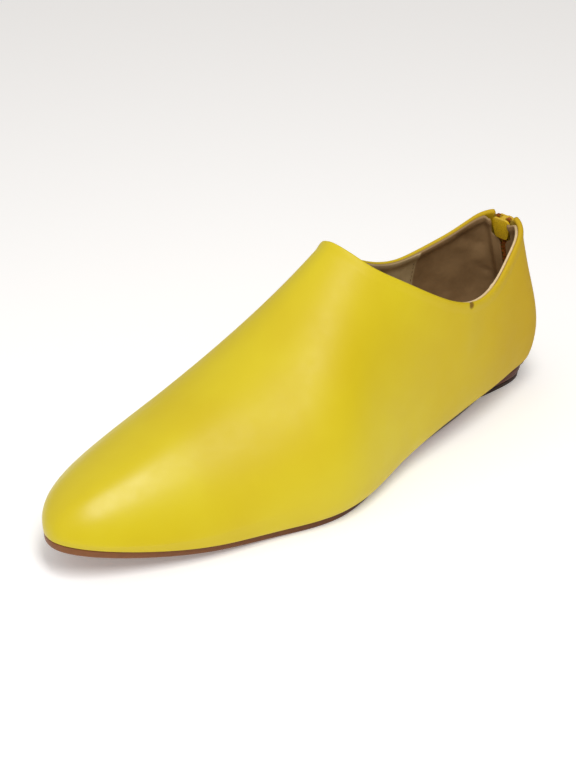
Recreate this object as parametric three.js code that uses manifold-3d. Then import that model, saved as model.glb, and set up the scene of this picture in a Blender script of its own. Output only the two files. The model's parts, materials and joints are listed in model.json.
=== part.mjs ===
// Low-cut leather ankle boot for the left foot: closed front, pointed throat, back zip, low heel.
// Millimetres, +Z up, toe along +X, outer side of the foot along +Y.
// Tables measure x from the back of the heel.
import * as THREE from 'three';
import { mergeVertices } from 'three/addons/utils/BufferGeometryUtils.js';
import Module from 'manifold-3d';

const wasm = await Module();
wasm.setup();

// Driving dimensions
const shoeLength = 258;
const wall = 2.0;
const gap = 0.3;
const soleThickness = 3.5;
const soleBevel = 0.7;
const insoleThickness = 2.0;
const insoleEnd = 245;
const lastingFold = { reach: 7, thickness: 1.2 };
const heelHeight = 8.8;
const topPieceThickness = 2.2;
const heelBreast = 50;
const ballRear = 136;
const ballFront = 160;
const toeSpring = 13.2;
const noseLength = 47.5;
const noseRoundness = 3.5;
const throatX = 113.5;
const heelReach = 90;
const turnShare = 0.2;
const heelCentre = { x: 26.9, y: -2.2 };
const heelHalf = { x: 24.8, y: 17 };
const heelSquareness = 3.2;
const zipBottom = 30;
const zipTop = 79.4;
const zipDepth = 2.4;
const slotHalfBottom = 4.6;
const slotHalfTop = 6.3;
const tapeTop = 76.8;
const tapeThickness = 0.8;
const tapeInner = 2.5;
const toothPitch = 2.0;
const toothReach = 2.2;
const toothRoot = 0.2;
const toothDepth = 1.9;
const sliderHeight = 71.9;
const sliderHalf = { top: 5.1, bottom: 3.6, length: 4.8 };
const pintle = { x: -3.5, z: -1.6, radius: 0.7 };
const pullLength = 19.5;
const pullThickness = 1.3;

// Edge where the upper meets the sole, in plan: half widths to the outer and the inner side
const outline = [
  { x: 0, outer: 0, inner: 0 },
  { x: 8, outer: 16.8, inner: 14.7 },
  { x: 20, outer: 20.5, inner: 20.7 },
  { x: 32, outer: 23.6, inner: 25.6 },
  { x: 72, outer: 31, inner: 27.6 },
  { x: 110, outer: 36.2, inner: 28.5 },
  { x: 150, outer: 44.6, inner: 37.3 },
  { x: 176, outer: 39, inner: 40 },
  { x: 202, outer: 33.4, inner: 36.4 },
  { x: 228, outer: 24.1, inner: 29.7 },
  { x: 248, outer: 13.4, inner: 17 },
  { x: shoeLength, outer: 0, inner: 0 },
];

// Ridge line of the last, which the collar cuts off behind the throat
const crown = [
  { x: 0, z: 113 },
  { x: 40, z: 104 },
  { x: 80, z: 114 },
  { x: 104, z: 102.5 },
  { x: 129, z: 84.3 },
  { x: 155, z: 65.2 },
  { x: 181, z: 50.3 },
  { x: 206, z: 42.8 },
  { x: 232, z: 35.7 },
  { x: shoeLength, z: 34.2 },
];

// Cross-section on each side: how far the wall swells past the sole edge, at what height,
// and how square the arch is over the wall and under the ridge
const section = {
  outer: [
    { x: 0, bulge: 3.4, rise: 14.7, wall: 1.53, crest: 1.53 },
    { x: 52, bulge: 3.2, rise: 16.4, wall: 1.61, crest: 1.61 },
    { x: 104, bulge: 3.5, rise: 9.4, wall: 1.72, crest: 1.72 },
    { x: 155, bulge: 3, rise: 10.3, wall: 1.8, crest: 1.95 },
    { x: 206, bulge: 0.4, rise: 4.8, wall: 1.2, crest: 2.1 },
    { x: shoeLength, bulge: 0.7, rise: 1.8, wall: 1.2, crest: 2.1 },
  ],
  inner: [
    { x: 0, bulge: 3.4, rise: 14.7, wall: 1.53, crest: 1.53 },
    { x: 52, bulge: 3.2, rise: 16.4, wall: 1.61, crest: 1.61 },
    { x: 104, bulge: 3.5, rise: 9.4, wall: 1.72, crest: 1.72 },
    { x: 155, bulge: 3, rise: 10.6, wall: 1.91, crest: 1.91 },
    { x: 206, bulge: 0.4, rise: 9.5, wall: 2.08, crest: 2.08 },
    { x: shoeLength, bulge: 0.7, rise: 5.6, wall: 1.85, crest: 1.85 },
  ],
};

// Collar line in side view
const collar = [
  { x: -8, z: 80 },
  { x: 8, z: 80 },
  { x: 16.5, z: 74.6 },
  { x: 28.5, z: 66.3 },
  { x: 52.5, z: 59.9 },
  { x: 74.5, z: 67.5 },
  { x: 95, z: 80.6 },
  { x: 103.5, z: 86.2 },
  { x: 109, z: 90.6 },
];

// Back of the heel: how far forward it leans at each height over the sole
const heelBack = [
  { rise: 0, forward: 2.4 },
  { rise: 18, forward: 0 },
  { rise: 45, forward: 5.6 },
  { rise: 65, forward: 8.6 },
  { rise: 90, forward: 11 },
];

// How far the sole's edge stays inside the upper's edge
const soleInset = [
  { x: 0, inset: -1.8 },
  { x: 20, inset: 3.6 },
  { x: 52, inset: 2 },
  { x: 104, inset: 2.2 },
  { x: 155, inset: 0.8 },
  { x: 194, inset: 1.4 },
  { x: shoeLength, inset: 0 },
];

// Heel block, from its top down: height share and how far the wall swells
const heelProfile = [
  { share: 1, swell: 0 },
  { share: 0.55, swell: 0.3 },
  { share: 0, swell: -0.5 },
];

// Natural cubic curve through one column of a table
function curveThrough(rows, along, column) {
  const a = rows.map((row) => row[along]);
  const b = rows.map((row) => row[column]);
  const n = a.length;
  const bend = new Array(n).fill(0);
  const carry = new Array(n).fill(0);
  for (let i = 1; i < n - 1; i++) {
    const before = a[i] - a[i - 1];
    const after = a[i + 1] - a[i];
    const pull = 6 * ((b[i + 1] - b[i]) / after - (b[i] - b[i - 1]) / before);
    const pivot = 2 * (before + after) - before * carry[i - 1];
    carry[i] = after / pivot;
    bend[i] = (pull - before * bend[i - 1]) / pivot;
  }
  for (let i = n - 2; i > 0; i--) bend[i] -= carry[i] * bend[i + 1];
  return (at) => {
    let i = 0;
    while (i < n - 2 && at > a[i + 1]) i++;
    const h = a[i + 1] - a[i];
    const s = (a[i + 1] - at) / h;
    const t = 1 - s;
    return s * b[i] + t * b[i + 1] + (((s ** 3 - s) * bend[i] + (t ** 3 - t) * bend[i + 1]) * h * h) / 6;
  };
}

const clamp = THREE.MathUtils.clamp;
const stationX = (u) => (shoeLength * (1 - Math.cos(Math.PI * u))) / 2;
const stationU = (x) => Math.acos(1 - (2 * x) / shoeLength) / Math.PI;

const outlineRows = outline.map((row) => ({ ...row, u: stationU(row.x) }));
const halfWidth = {
  outer: curveThrough(outlineRows, 'u', 'outer'),
  inner: curveThrough(outlineRows, 'u', 'inner'),
};
const crownZ = curveThrough(crown, 'x', 'z');
const sectionCurves = (rows) => ({
  bulge: curveThrough(rows, 'x', 'bulge'),
  rise: curveThrough(rows, 'x', 'rise'),
  wall: curveThrough(rows, 'x', 'wall'),
  crest: curveThrough(rows, 'x', 'crest'),
});
const outerSection = sectionCurves(section.outer);
const innerSection = sectionCurves(section.inner);
const collarZ = curveThrough([...collar, { x: throatX, z: crownZ(throatX) }], 'x', 'z');
const leanAt = curveThrough(heelBack, 'rise', 'forward');
const insetAt = curveThrough(soleInset, 'x', 'inset');

// Underside of the sole: heel seat, arch, flat ball, toe spring
function undersideZ(x) {
  const t = clamp((ballRear - x) / (ballRear - heelBreast), 0, 1);
  const lift = heelHeight * (0.5 - 0.5 * Math.cos(Math.PI * t));
  return lift + toeSpring * (Math.max(0, x - ballFront) / (shoeLength - ballFront)) ** 2;
}
const featherZ = (x) => undersideZ(x) + soleThickness + gap;
const heelShare = (x) => Math.max(0, 1 - Math.max(0, x) / heelReach) ** 2;

// Point of the outline at station u, moved square to it by the inset: x and distance from the centre line
function edgePoint(u, side, inset) {
  const width = side > 0 ? halfWidth.outer : halfWidth.inner;
  const step = 1e-4;
  const low = Math.max(0, u - step);
  const high = Math.min(1, u + step);
  const along = new THREE.Vector2(stationX(high) - stationX(low), width(high) - width(low));
  if (u === 0) along.set(0, 1);
  if (u === 1) along.set(0, -1);
  along.normalize();
  const reach = u === 0 || u === 1 ? 0 : width(u);
  return { x: stationX(u) + along.y * inset, y: Math.max(0, reach - along.x * inset) };
}

// The same point on the sole's level, with the heel's lean taken in
function solePoint(u, side, inset) {
  const edge = edgePoint(u, side, inset);
  return { x: edge.x + heelShare(edge.x - inset) * leanAt(0), y: edge.y };
}

// Point of the upper's skin at station u and share v of the way from sole edge to ridge
function skinPoint(u, v, side, inset) {
  const edge = edgePoint(u, side, inset);
  const ridgeX = (edge.x + edgePoint(u, -side, inset).x) / 2;
  const fold = inset > 0 ? lastingFold.thickness : 0;
  const foot = featherZ(edge.x) + fold;
  const slope = crownZ(ridgeX + 0.5) - crownZ(ridgeX - 0.5);
  const ridge = crownZ(ridgeX) - inset * Math.sqrt(1 + slope * slope);
  const toNose = clamp((shoeLength - inset - ridgeX) / noseLength, 0, 1);
  const base = featherZ(ridgeX) + fold;
  const top = base + (ridge - base) * Math.sqrt(Math.max(0, 1 - (1 - toNose) ** noseRoundness));
  const shape = side > 0 || u === 0 ? outerSection : innerSection;
  const bulge = shape.bulge(edge.x) * Math.min(1, edge.y / 15);
  const rise = Math.min(shape.rise(edge.x), 0.4 * Math.max(0, top - foot));
  let y, z;
  if (v <= turnShare) {
    const angle = ((v / turnShare) * Math.PI) / 2;
    y = edge.y + bulge * Math.sin(angle);
    z = foot + rise * (1 - Math.cos(angle));
  } else {
    const angle = (((v - turnShare) / (1 - turnShare)) * Math.PI) / 2;
    y = (edge.y + bulge) * Math.max(0, Math.cos(angle)) ** (2 / shape.crest(ridgeX));
    z = foot + rise + (top - foot - rise) * Math.sin(angle) ** (2 / shape.wall(ridgeX));
  }
  if (v === 1) y = 0;
  const x = edge.x + (ridgeX - edge.x) * v;
  const lean = heelShare(x - inset) * leanAt(clamp(z - base, 0, 90));
  return new THREE.Vector3(x + lean, side * y, z);
}

// Collects faces and closes them into one body
class Skin {
  constructor() {
    this.corners = [];
  }
  triangle(a, b, c) {
    this.corners.push(...a.toArray(), ...b.toArray(), ...c.toArray());
  }
  quad(a, b, c, d, turned = false) {
    if (turned) [b, d] = [d, b];
    this.triangle(a, b, c);
    this.triangle(a, c, d);
  }
  body() {
    const loose = new THREE.BufferGeometry();
    loose.setAttribute('position', new THREE.Float32BufferAttribute(this.corners, 3));
    return closed(loose);
  }
}

// Only positions, shared corners merged, empty triangles dropped
function closed(geometry) {
  const bare = new THREE.BufferGeometry();
  bare.setAttribute('position', geometry.getAttribute('position').clone());
  if (geometry.index) bare.setIndex(geometry.index.clone());
  const merged = mergeVertices(bare, 1e-3);
  const source = merged.index.array;
  const kept = [];
  for (let i = 0; i < source.length; i += 3) {
    const [a, b, c] = [source[i], source[i + 1], source[i + 2]];
    if (a !== b && b !== c && a !== c) kept.push(a, b, c);
  }
  merged.setIndex(kept);
  return merged;
}

function solidOf(geometry) {
  const body = closed(geometry);
  return new wasm.Manifold(
    new wasm.Mesh({
      numProp: 3,
      vertProperties: new Float32Array(body.getAttribute('position').array),
      triVerts: new Uint32Array(body.index.array),
    }),
  );
}

function geometryOf(solid) {
  const mesh = solid.getMesh();
  const positions = [];
  for (let i = 0; i < mesh.numVert; i++) {
    const at = i * mesh.numProp;
    positions.push(mesh.vertProperties[at], mesh.vertProperties[at + 1], mesh.vertProperties[at + 2]);
  }
  const geometry = new THREE.BufferGeometry();
  geometry.setAttribute('position', new THREE.Float32BufferAttribute(positions, 3));
  geometry.setIndex(Array.from(mesh.triVerts));
  return geometry;
}

const joined = (geometries) => geometryOf(geometries.map(solidOf).reduce((whole, piece) => whole.add(piece)));

function named(name, geometry, look) {
  const mesh = new THREE.Mesh(geometry, new THREE.MeshStandardMaterial(look));
  mesh.name = name;
  return mesh;
}

const block = (x0, x1, y0, y1, z0, z1) =>
  new THREE.BoxGeometry(x1 - x0, y1 - y0, z1 - z0).translate((x0 + x1) / 2, (y0 + y1) / 2, (z0 + z1) / 2);

// Plate drawn in y and z, with its thickness along x
function plateAcross(shape, x0, x1) {
  const plate = new THREE.ExtrudeGeometry(shape, { depth: x1 - x0, bevelEnabled: false, curveSegments: 6 });
  const turn = new THREE.Matrix4().makeBasis(
    new THREE.Vector3(0, 1, 0),
    new THREE.Vector3(0, 0, 1),
    new THREE.Vector3(1, 0, 0),
  );
  return plate.applyMatrix4(turn).translate(x0, 0, 0);
}

// Plate drawn in x and z, with its thickness along y
function plateAlong(shape, y0, y1) {
  const plate = new THREE.ExtrudeGeometry(shape, { depth: y1 - y0, bevelEnabled: false, curveSegments: 6 });
  return plate.rotateX(Math.PI / 2).translate(0, y1, 0);
}

const spread = (count, pick) => Array.from({ length: count + 1 }, (_, i) => pick(i / count));

// Stations from the heel's back to the toe, and shares of the way from the sole edge to the ridge
const stationCount = 40;
const stations = spread(stationCount, (f) => f);
const levelShares = [0, 0.07, 0.14, 0.2, 0.27, 0.34, 0.42, 0.5, 0.58, 0.66, 0.74, 0.82, 0.91, 1];

const slotHalf = (z) =>
  slotHalfBottom + ((slotHalfTop - slotHalfBottom) * (z - zipBottom)) / (zipTop - zipBottom);

// Space over the collar line, in side view
function collarSpace() {
  const high = 150;
  const line = spread(36, (f) => -12 + (throatX + 12) * f).map((x) => new THREE.Vector2(x, collarZ(x)));
  const slope = collarZ(throatX) - collarZ(throatX - 1);
  line.push(new THREE.Vector2(throatX + 12, collarZ(throatX) + 12 * slope));
  line.push(new THREE.Vector2(throatX + 12, high), new THREE.Vector2(-12, high));
  return plateAlong(new THREE.Shape(line), -70, 70);
}

// Slot for the zip, seen from behind
function zipSpace() {
  const slot = new THREE.Shape();
  const top = zipTop + 15;
  slot.moveTo(-slotHalf(zipBottom) + 1, zipBottom);
  slot.lineTo(slotHalf(zipBottom) - 1, zipBottom);
  slot.lineTo(slotHalf(zipBottom + 1), zipBottom + 1);
  slot.lineTo(slotHalf(top), top);
  slot.lineTo(-slotHalf(top), top);
  slot.lineTo(-slotHalf(zipBottom + 1), zipBottom + 1);
  slot.closePath();
  return plateAcross(slot, -12, 24);
}

// Upper: outer and inner skin over the whole last, folded under at the sole edge,
// cut open at the collar and the back
function upperBody() {
  const skin = new Skin();
  for (const side of [1, -1]) {
    const columns = stations.map((u) => {
      const turned = edgePoint(u, side, lastingFold.reach);
      const x = turned.x + heelShare(turned.x - lastingFold.reach) * leanAt(0);
      const z = featherZ(turned.x);
      return {
        outside: levelShares.map((v) => skinPoint(u, v, side, 0)),
        inside: levelShares.map((v) => skinPoint(u, v, side, wall)),
        foldUnder: new THREE.Vector3(x, side * turned.y, z),
        foldOver: new THREE.Vector3(x, side * turned.y, z + lastingFold.thickness),
      };
    });
    const left = side > 0;
    for (let i = 0; i < stationCount; i++) {
      const here = columns[i];
      const next = columns[i + 1];
      for (let j = 0; j < levelShares.length - 1; j++) {
        skin.quad(here.outside[j], next.outside[j], next.outside[j + 1], here.outside[j + 1], left);
        skin.quad(here.inside[j], next.inside[j], next.inside[j + 1], here.inside[j + 1], !left);
      }
      skin.quad(here.outside[0], next.outside[0], next.foldUnder, here.foldUnder, !left);
      skin.quad(here.foldUnder, next.foldUnder, next.foldOver, here.foldOver, !left);
      skin.quad(here.foldOver, next.foldOver, next.inside[0], here.inside[0], !left);
    }
  }
  const whole = solidOf(skin.body());
  return geometryOf(whole.subtract(solidOf(collarSpace())).subtract(solidOf(zipSpace())));
}

// Sheet between two plan edges: rows give the edge from top to bottom
// as extra inset and height over the underside
function sheetBody(us, insetOf, rows) {
  const skin = new Skin();
  const ring = (u, side) =>
    rows.map((row) => {
      const p = solePoint(u, side, insetOf(stationX(u)) + row.inset);
      return new THREE.Vector3(p.x, side * p.y, undersideZ(p.x) + row.height);
    });
  const last = rows.length - 1;
  for (let i = 0; i < us.length - 1; i++) {
    const [a, b] = [ring(us[i], 1), ring(us[i + 1], 1)];
    const [c, d] = [ring(us[i], -1), ring(us[i + 1], -1)];
    skin.quad(c[0], d[0], b[0], a[0]);
    skin.quad(c[last], d[last], b[last], a[last], true);
    for (let j = 0; j < last; j++) {
      skin.quad(a[j], b[j], b[j + 1], a[j + 1]);
      skin.quad(c[j], d[j], d[j + 1], c[j + 1], true);
    }
    if (i === us.length - 2) for (let j = 0; j < last; j++) skin.quad(b[j], d[j], d[j + 1], b[j + 1]);
  }
  return skin.body();
}

// Stack of rounded-square rings round the heel's centre
function heelBody(rows, around = 40) {
  const skin = new Skin();
  const rings = rows.map((row) =>
    Array.from({ length: around }, (_, i) => {
      const angle = (2 * Math.PI * i) / around;
      const round = (value) => Math.sign(value) * Math.abs(value) ** (2 / heelSquareness);
      return new THREE.Vector3(
        heelCentre.x + (heelHalf.x + row.swell) * round(Math.cos(angle)),
        heelCentre.y + (heelHalf.y + row.swell) * round(Math.sin(angle)),
        row.z,
      );
    }),
  );
  const middle = (z) => new THREE.Vector3(heelCentre.x, heelCentre.y, z);
  for (let i = 0; i < around; i++) {
    const k = (i + 1) % around;
    skin.triangle(middle(rows[0].z), rings[0][i], rings[0][k]);
    const low = rings.length - 1;
    for (let j = 0; j < low; j++) skin.quad(rings[j][i], rings[j + 1][i], rings[j + 1][k], rings[j][k]);
    skin.triangle(middle(rows[low].z), rings[low][k], rings[low][i]);
  }
  return skin.body();
}

// Centre line of the zip, and its lean from upright
const zipX = (z) => leanAt(z - featherZ(0)) + zipDepth;
const zipLean = (z) => Math.atan(zipX(z + 0.5) - zipX(z - 0.5));

// Strip along the zip: y0 and y1 give its edges at each height
function stripBody(z0, z1, count, y0, y1, half) {
  const skin = new Skin();
  const ring = (z) => {
    const lean = zipLean(z);
    const corner = (y, out) => new THREE.Vector3(zipX(z) + out * Math.cos(lean), y, z - out * Math.sin(lean));
    return [corner(y0(z), -half), corner(y1(z), -half), corner(y1(z), half), corner(y0(z), half)];
  };
  const rings = spread(count, (f) => ring(z0 + (z1 - z0) * f));
  for (let i = 0; i < count; i++) {
    for (let k = 0; k < 4; k++) {
      const m = (k + 1) % 4;
      skin.quad(rings[i][k], rings[i + 1][k], rings[i + 1][m], rings[i][m]);
    }
  }
  skin.quad(...rings[0]);
  skin.quad(...rings[count], true);
  return skin.body();
}

function tapeBody(side) {
  const reach = (z) => slotHalf(z) - gap;
  const low = zipBottom + 1 + gap;
  return side > 0
    ? stripBody(low, tapeTop, 14, () => tapeInner, reach, tapeThickness / 2)
    : stripBody(low, tapeTop, 14, (z) => -reach(z), () => -tapeInner, tapeThickness / 2);
}

// Closed row of teeth with its bottom stop, up to the slider's neck
function chainBody() {
  const low = zipBottom + 1.2;
  const high = sliderHeight + 1.6;
  const pieces = [stripBody(low, high, 14, () => -0.6, () => 0.6, 0.6)];
  const placed = (geometry, z) => geometry.rotateY(zipLean(z)).translate(zipX(z), 0, z);
  pieces.push(placed(block(-1, 1, -toothReach, toothReach, -1.4, 1.4), low + 1.6));
  for (let i = 0; low + 4.4 + i * (toothPitch / 2) < high - 0.8; i++) {
    const side = i % 2 ? 1 : -1;
    const [y0, y1] = side > 0 ? [toothRoot, toothReach] : [-toothReach, -toothRoot];
    const tooth = block(-toothDepth / 2, toothDepth / 2, y0, y1, -toothPitch / 4, toothPitch / 4);
    pieces.push(placed(tooth, low + 4.4 + i * (toothPitch / 2)));
  }
  return joined(pieces);
}

// Slider body: two plates, neck, side flanges with a slit for the tape, and a bridge on the outside
function sliderBody() {
  const { top, bottom, length } = sliderHalf;
  const face = new THREE.Shape();
  face.moveTo(-bottom + 0.9, -length);
  face.lineTo(bottom - 0.9, -length);
  face.lineTo(bottom, -length + 0.9);
  face.lineTo(top, 1.8);
  face.lineTo(top - 0.3, length - 1.5);
  face.quadraticCurveTo(top - 0.9, length, top - 2.4, length);
  face.lineTo(-top + 2.4, length);
  face.quadraticCurveTo(-top + 0.9, length, -top + 0.3, length - 1.5);
  face.lineTo(-top, 1.8);
  face.lineTo(-bottom, -length + 0.9);
  face.closePath();
  const neck = block(-1.4, 1.4, -1.5, 1.5, 2.3, length - 0.2);
  const pieces = [plateAcross(face, 1.3, 2.4), plateAcross(face, -2.4, -1.3), neck];
  for (const out of [1, -1]) {
    for (const side of [1, -1]) {
      const [x0, x1] = out > 0 ? [0.7, 1.4] : [-1.4, -0.7];
      const [y0, y1] = side > 0 ? [bottom - 0.7, bottom - 0.1] : [-bottom + 0.1, -bottom + 0.7];
      pieces.push(block(x0, x1, y0, y1, -length + 1, 1.2));
    }
  }
  const arch = new THREE.Shape();
  arch.moveTo(-2.3, -3.8);
  arch.lineTo(-2.3, 3.8);
  arch.lineTo(-4.2, 3.8);
  arch.lineTo(-5.6, 2.4);
  arch.lineTo(-5.6, -2.4);
  arch.lineTo(-4.2, -3.8);
  arch.closePath();
  const bow = plateAlong(arch, -0.9, 0.9);
  const window = block(-4.6, -2.4, -2, 2, -2.6, 2.6);
  const bridge = solidOf(bow).subtract(solidOf(window));
  return geometryOf(pieces.map(solidOf).reduce((whole, piece) => whole.add(piece)).add(bridge));
}

// Pull tab hanging from its pintle: z runs down from the pintle's axis
function pullBody() {
  const face = new THREE.Shape();
  face.moveTo(-2.6, 0);
  face.lineTo(-2.6, -8);
  face.quadraticCurveTo(-3.6, -11, -3.6, -pullLength + 3);
  face.quadraticCurveTo(-3.6, -pullLength, 0, -pullLength);
  face.quadraticCurveTo(3.6, -pullLength, 3.6, -pullLength + 3);
  face.quadraticCurveTo(3.6, -11, 2.6, -8);
  face.lineTo(2.6, 0);
  face.closePath();
  const eye = new THREE.Path();
  eye.moveTo(-1.4, -0.4);
  eye.lineTo(1.4, -0.4);
  eye.lineTo(1.4, -5.6);
  eye.lineTo(0.8, -6.4);
  eye.lineTo(-0.8, -6.4);
  eye.lineTo(-1.4, -5.6);
  eye.closePath();
  face.holes.push(eye);
  const tab = plateAcross(face, -pullThickness / 2, pullThickness / 2);
  const pin = new THREE.CylinderGeometry(pintle.radius, pintle.radius, 5.2, 16);
  return joined([tab, pin]);
}

const yellow = { color: 0xdcc53c, roughness: 0.45, metalness: 0 };
const shoe = new THREE.Group();

shoe.add(named('upper', upperBody(), yellow));
shoe.add(
  named(
    'outsole',
    sheetBody(stations, insetAt, [
      { inset: 0, height: soleThickness },
      { inset: 0, height: soleBevel },
      { inset: soleBevel, height: 0 },
    ]),
    { color: 0x8a5636, roughness: 0.6, metalness: 0 },
  ),
);
const insoleSeat = soleThickness + gap + lastingFold.thickness + gap;
const insoleStations = [...stations.filter((u) => stationX(u) < insoleEnd - 2), stationU(insoleEnd)];
shoe.add(
  named(
    'insole',
    sheetBody(insoleStations, () => wall + gap + 0.1, [
      { inset: 0, height: insoleSeat + insoleThickness },
      { inset: 0, height: insoleSeat },
    ]),
    { color: 0xb59a78, roughness: 0.75, metalness: 0 },
  ),
);
const liftTop = heelHeight - gap;
const liftBottom = topPieceThickness + gap;
const liftZ = (share) => liftBottom + (liftTop - liftBottom) * share;
shoe.add(
  named(
    'heel_lift',
    heelBody(heelProfile.map(({ share, swell }) => ({ swell, z: liftZ(share) }))),
    { color: 0x4a2a1c, roughness: 0.6, metalness: 0 },
  ),
);
shoe.add(
  named(
    'heel_top_piece',
    heelBody([
      { swell: -0.5, z: topPieceThickness },
      { swell: -0.8, z: 0 },
    ]),
    { color: 0x1d1512, roughness: 0.8, metalness: 0 },
  ),
);
const tapeLook = { color: 0xc9b060, roughness: 0.85, metalness: 0 };
shoe.add(named('zip_tape_left', tapeBody(1), tapeLook));
shoe.add(named('zip_tape_right', tapeBody(-1), tapeLook));
shoe.add(named('zip_chain', chainBody(), { color: 0xb4702c, roughness: 0.35, metalness: 0.9 }));

const slider = new THREE.Group();
slider.position.set(zipX(sliderHeight), 0, sliderHeight);
slider.rotation.y = zipLean(sliderHeight);
slider.add(named('zip_slider', sliderBody(), { color: 0xd8b424, roughness: 0.35, metalness: 0 }));
const pull = named('zip_pull', pullBody(), { color: 0xd8b424, roughness: 0.35, metalness: 0 });
pull.position.set(pintle.x, 0, pintle.z);
slider.add(pull);
shoe.add(slider);

// Origin under the middle of the whole shoe
const box = new THREE.Box3().setFromObject(shoe);
const middle = box.getCenter(new THREE.Vector3());
shoe.position.set(-middle.x, -middle.y, -box.min.z);
shoe.updateMatrixWorld(true);

export default shoe;
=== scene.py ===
import json
import math

import bmesh
import bpy
import numpy as np
from mathutils import Euler, Matrix, Vector


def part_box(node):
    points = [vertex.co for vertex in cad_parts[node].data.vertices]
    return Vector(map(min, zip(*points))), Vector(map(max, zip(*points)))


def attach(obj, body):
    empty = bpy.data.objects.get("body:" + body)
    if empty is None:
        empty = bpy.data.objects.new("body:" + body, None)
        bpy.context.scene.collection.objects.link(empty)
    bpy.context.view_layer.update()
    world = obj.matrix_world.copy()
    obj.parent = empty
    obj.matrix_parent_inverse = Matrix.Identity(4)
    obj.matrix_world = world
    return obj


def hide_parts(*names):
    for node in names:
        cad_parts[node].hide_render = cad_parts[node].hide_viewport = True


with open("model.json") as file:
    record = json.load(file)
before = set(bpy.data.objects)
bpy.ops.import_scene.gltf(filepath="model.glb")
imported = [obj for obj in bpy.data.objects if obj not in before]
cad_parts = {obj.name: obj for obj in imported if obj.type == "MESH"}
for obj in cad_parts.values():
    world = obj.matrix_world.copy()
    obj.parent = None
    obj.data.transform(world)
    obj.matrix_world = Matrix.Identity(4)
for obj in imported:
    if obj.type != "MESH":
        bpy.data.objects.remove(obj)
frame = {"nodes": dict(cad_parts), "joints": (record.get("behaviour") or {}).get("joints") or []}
scene = bpy.context.scene
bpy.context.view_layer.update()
print("frame loaded:", len(frame["nodes"]), "nodes")

# Last, in millimetres: x from the back of the heel, y to the outer side, z up from the floor
last = {
    "length": 258.0,
    "outline": (  # x, half width to the outer side, to the inner side
        (0, 0, 0), (8, 16.8, 14.7), (20, 20.5, 20.7), (32, 23.6, 25.6), (72, 31, 27.6), (110, 36.2, 28.5),
        (150, 44.6, 37.3), (176, 39, 40), (202, 33.4, 36.4), (228, 24.1, 29.7), (248, 13.4, 17), (258, 0, 0)),
    "crown": (  # x, height of the ridge
        (0, 113), (40, 104), (80, 114), (104, 102.5), (129, 84.3), (155, 65.2), (181, 50.3), (206, 42.8),
        (232, 35.7), (258, 34.2)),
    "outerSection": (  # x, bulge, its height, squareness over the wall, squareness at the ridge
        (0, 3.4, 14.7, 1.53, 1.53), (52, 3.2, 16.4, 1.61, 1.61), (104, 3.5, 9.4, 1.72, 1.72),
        (155, 3, 10.3, 1.8, 1.95), (206, 0.4, 4.8, 1.2, 2.1), (258, 0.7, 1.8, 1.2, 2.1)),
    "innerSection": (  # the same columns
        (0, 3.4, 14.7, 1.53, 1.53), (52, 3.2, 16.4, 1.61, 1.61), (104, 3.5, 9.4, 1.72, 1.72),
        (155, 3, 10.6, 1.91, 1.91), (206, 0.4, 9.5, 2.08, 2.08), (258, 0.7, 5.6, 1.85, 1.85)),
    "collar": (  # x, height
        (-8, 80), (8, 80), (16.5, 74.6), (28.5, 66.3), (52.5, 59.9), (74.5, 67.5), (95, 80.6), (103.5, 86.2),
        (109, 90.6)),
    "heelBack": ((0, 2.4), (18, 0), (45, 5.6), (65, 8.6), (90, 11)),  # height over the sole, lean forward
    "soleInset": ((0, -1.8), (20, 3.6), (52, 2), (104, 2.2), (155, 0.8), (194, 1.4), (258, 0)),  # x, inset
    "throatX": 113.5,
    "noseLength": 47.5,
    "noseRoundness": 3.5,
    "heelReach": 90.0,
    "turnShare": 0.2,  # share of the way up that the turn over the sole edge takes
    "bulgeFade": 15.0,  # half width under which the bulge fades towards heel and toe
    "riseShare": 0.4,  # most of the height that the bulge may take
    "heelHeight": 8.8,
    "heelBreast": 50.0,
    "ballRear": 136.0,
    "ballFront": 160.0,
    "toeSpring": 13.2,
    "soleThickness": 3.5,
    "gap": 0.3,
    "foldReach": 7.0,
    "foldThickness": 1.2,
}
zipSizes = {
    "bottom": 30.0,
    "top": 79.4,
    "depth": 2.4,  # behind the skin of the heel
    "slotHalfBottom": 4.6,
    "slotHalfTop": 6.3,
    "sliderHeight": 71.9,
    "tapeTop": 76.8,
    "region": 45.0,  # x past which nothing is cut for the zip
}
joint = frame["joints"][0]
shift = np.array([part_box("outsole")[1].x * 1000 - last["length"], joint["pos_m"][1] * 1000, 0.0])


def toFrame(points):  # from the last's millimetres to the frame's metres
    return (np.asarray(points, float) + shift) / 1000


def curveThrough(rows, column=1):  # natural cubic through one column of a table
    at = np.array([row[0] for row in rows], float)
    value = np.array([row[column] for row in rows], float)
    span = np.diff(at)
    count = len(at)
    matrix = np.eye(count)
    pull = np.zeros(count)
    for i in range(1, count - 1):
        matrix[i, i - 1:i + 2] = span[i - 1], 2 * (span[i - 1] + span[i]), span[i]
        pull[i] = 6 * ((value[i + 1] - value[i]) / span[i] - (value[i] - value[i - 1]) / span[i - 1])
    bend = np.linalg.solve(matrix, pull)

    def curve(x):
        x = np.asarray(x, float)
        i = np.clip(np.searchsorted(at, x) - 1, 0, count - 2)
        after = (x - at[i]) / span[i]
        before = 1 - after
        arch = (before**3 - before) * bend[i] + (after**3 - after) * bend[i + 1]
        return before * value[i] + after * value[i + 1] + arch * span[i]**2 / 6

    return curve


def slopeOf(curve, at, half=0.5):  # over one millimetre
    return curve(at + half) - curve(at - half)


def stationX(u):
    return last["length"] * (1 - np.cos(np.pi * u)) / 2


def stationU(x):
    return math.acos(1 - 2 * x / last["length"]) / math.pi


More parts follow.
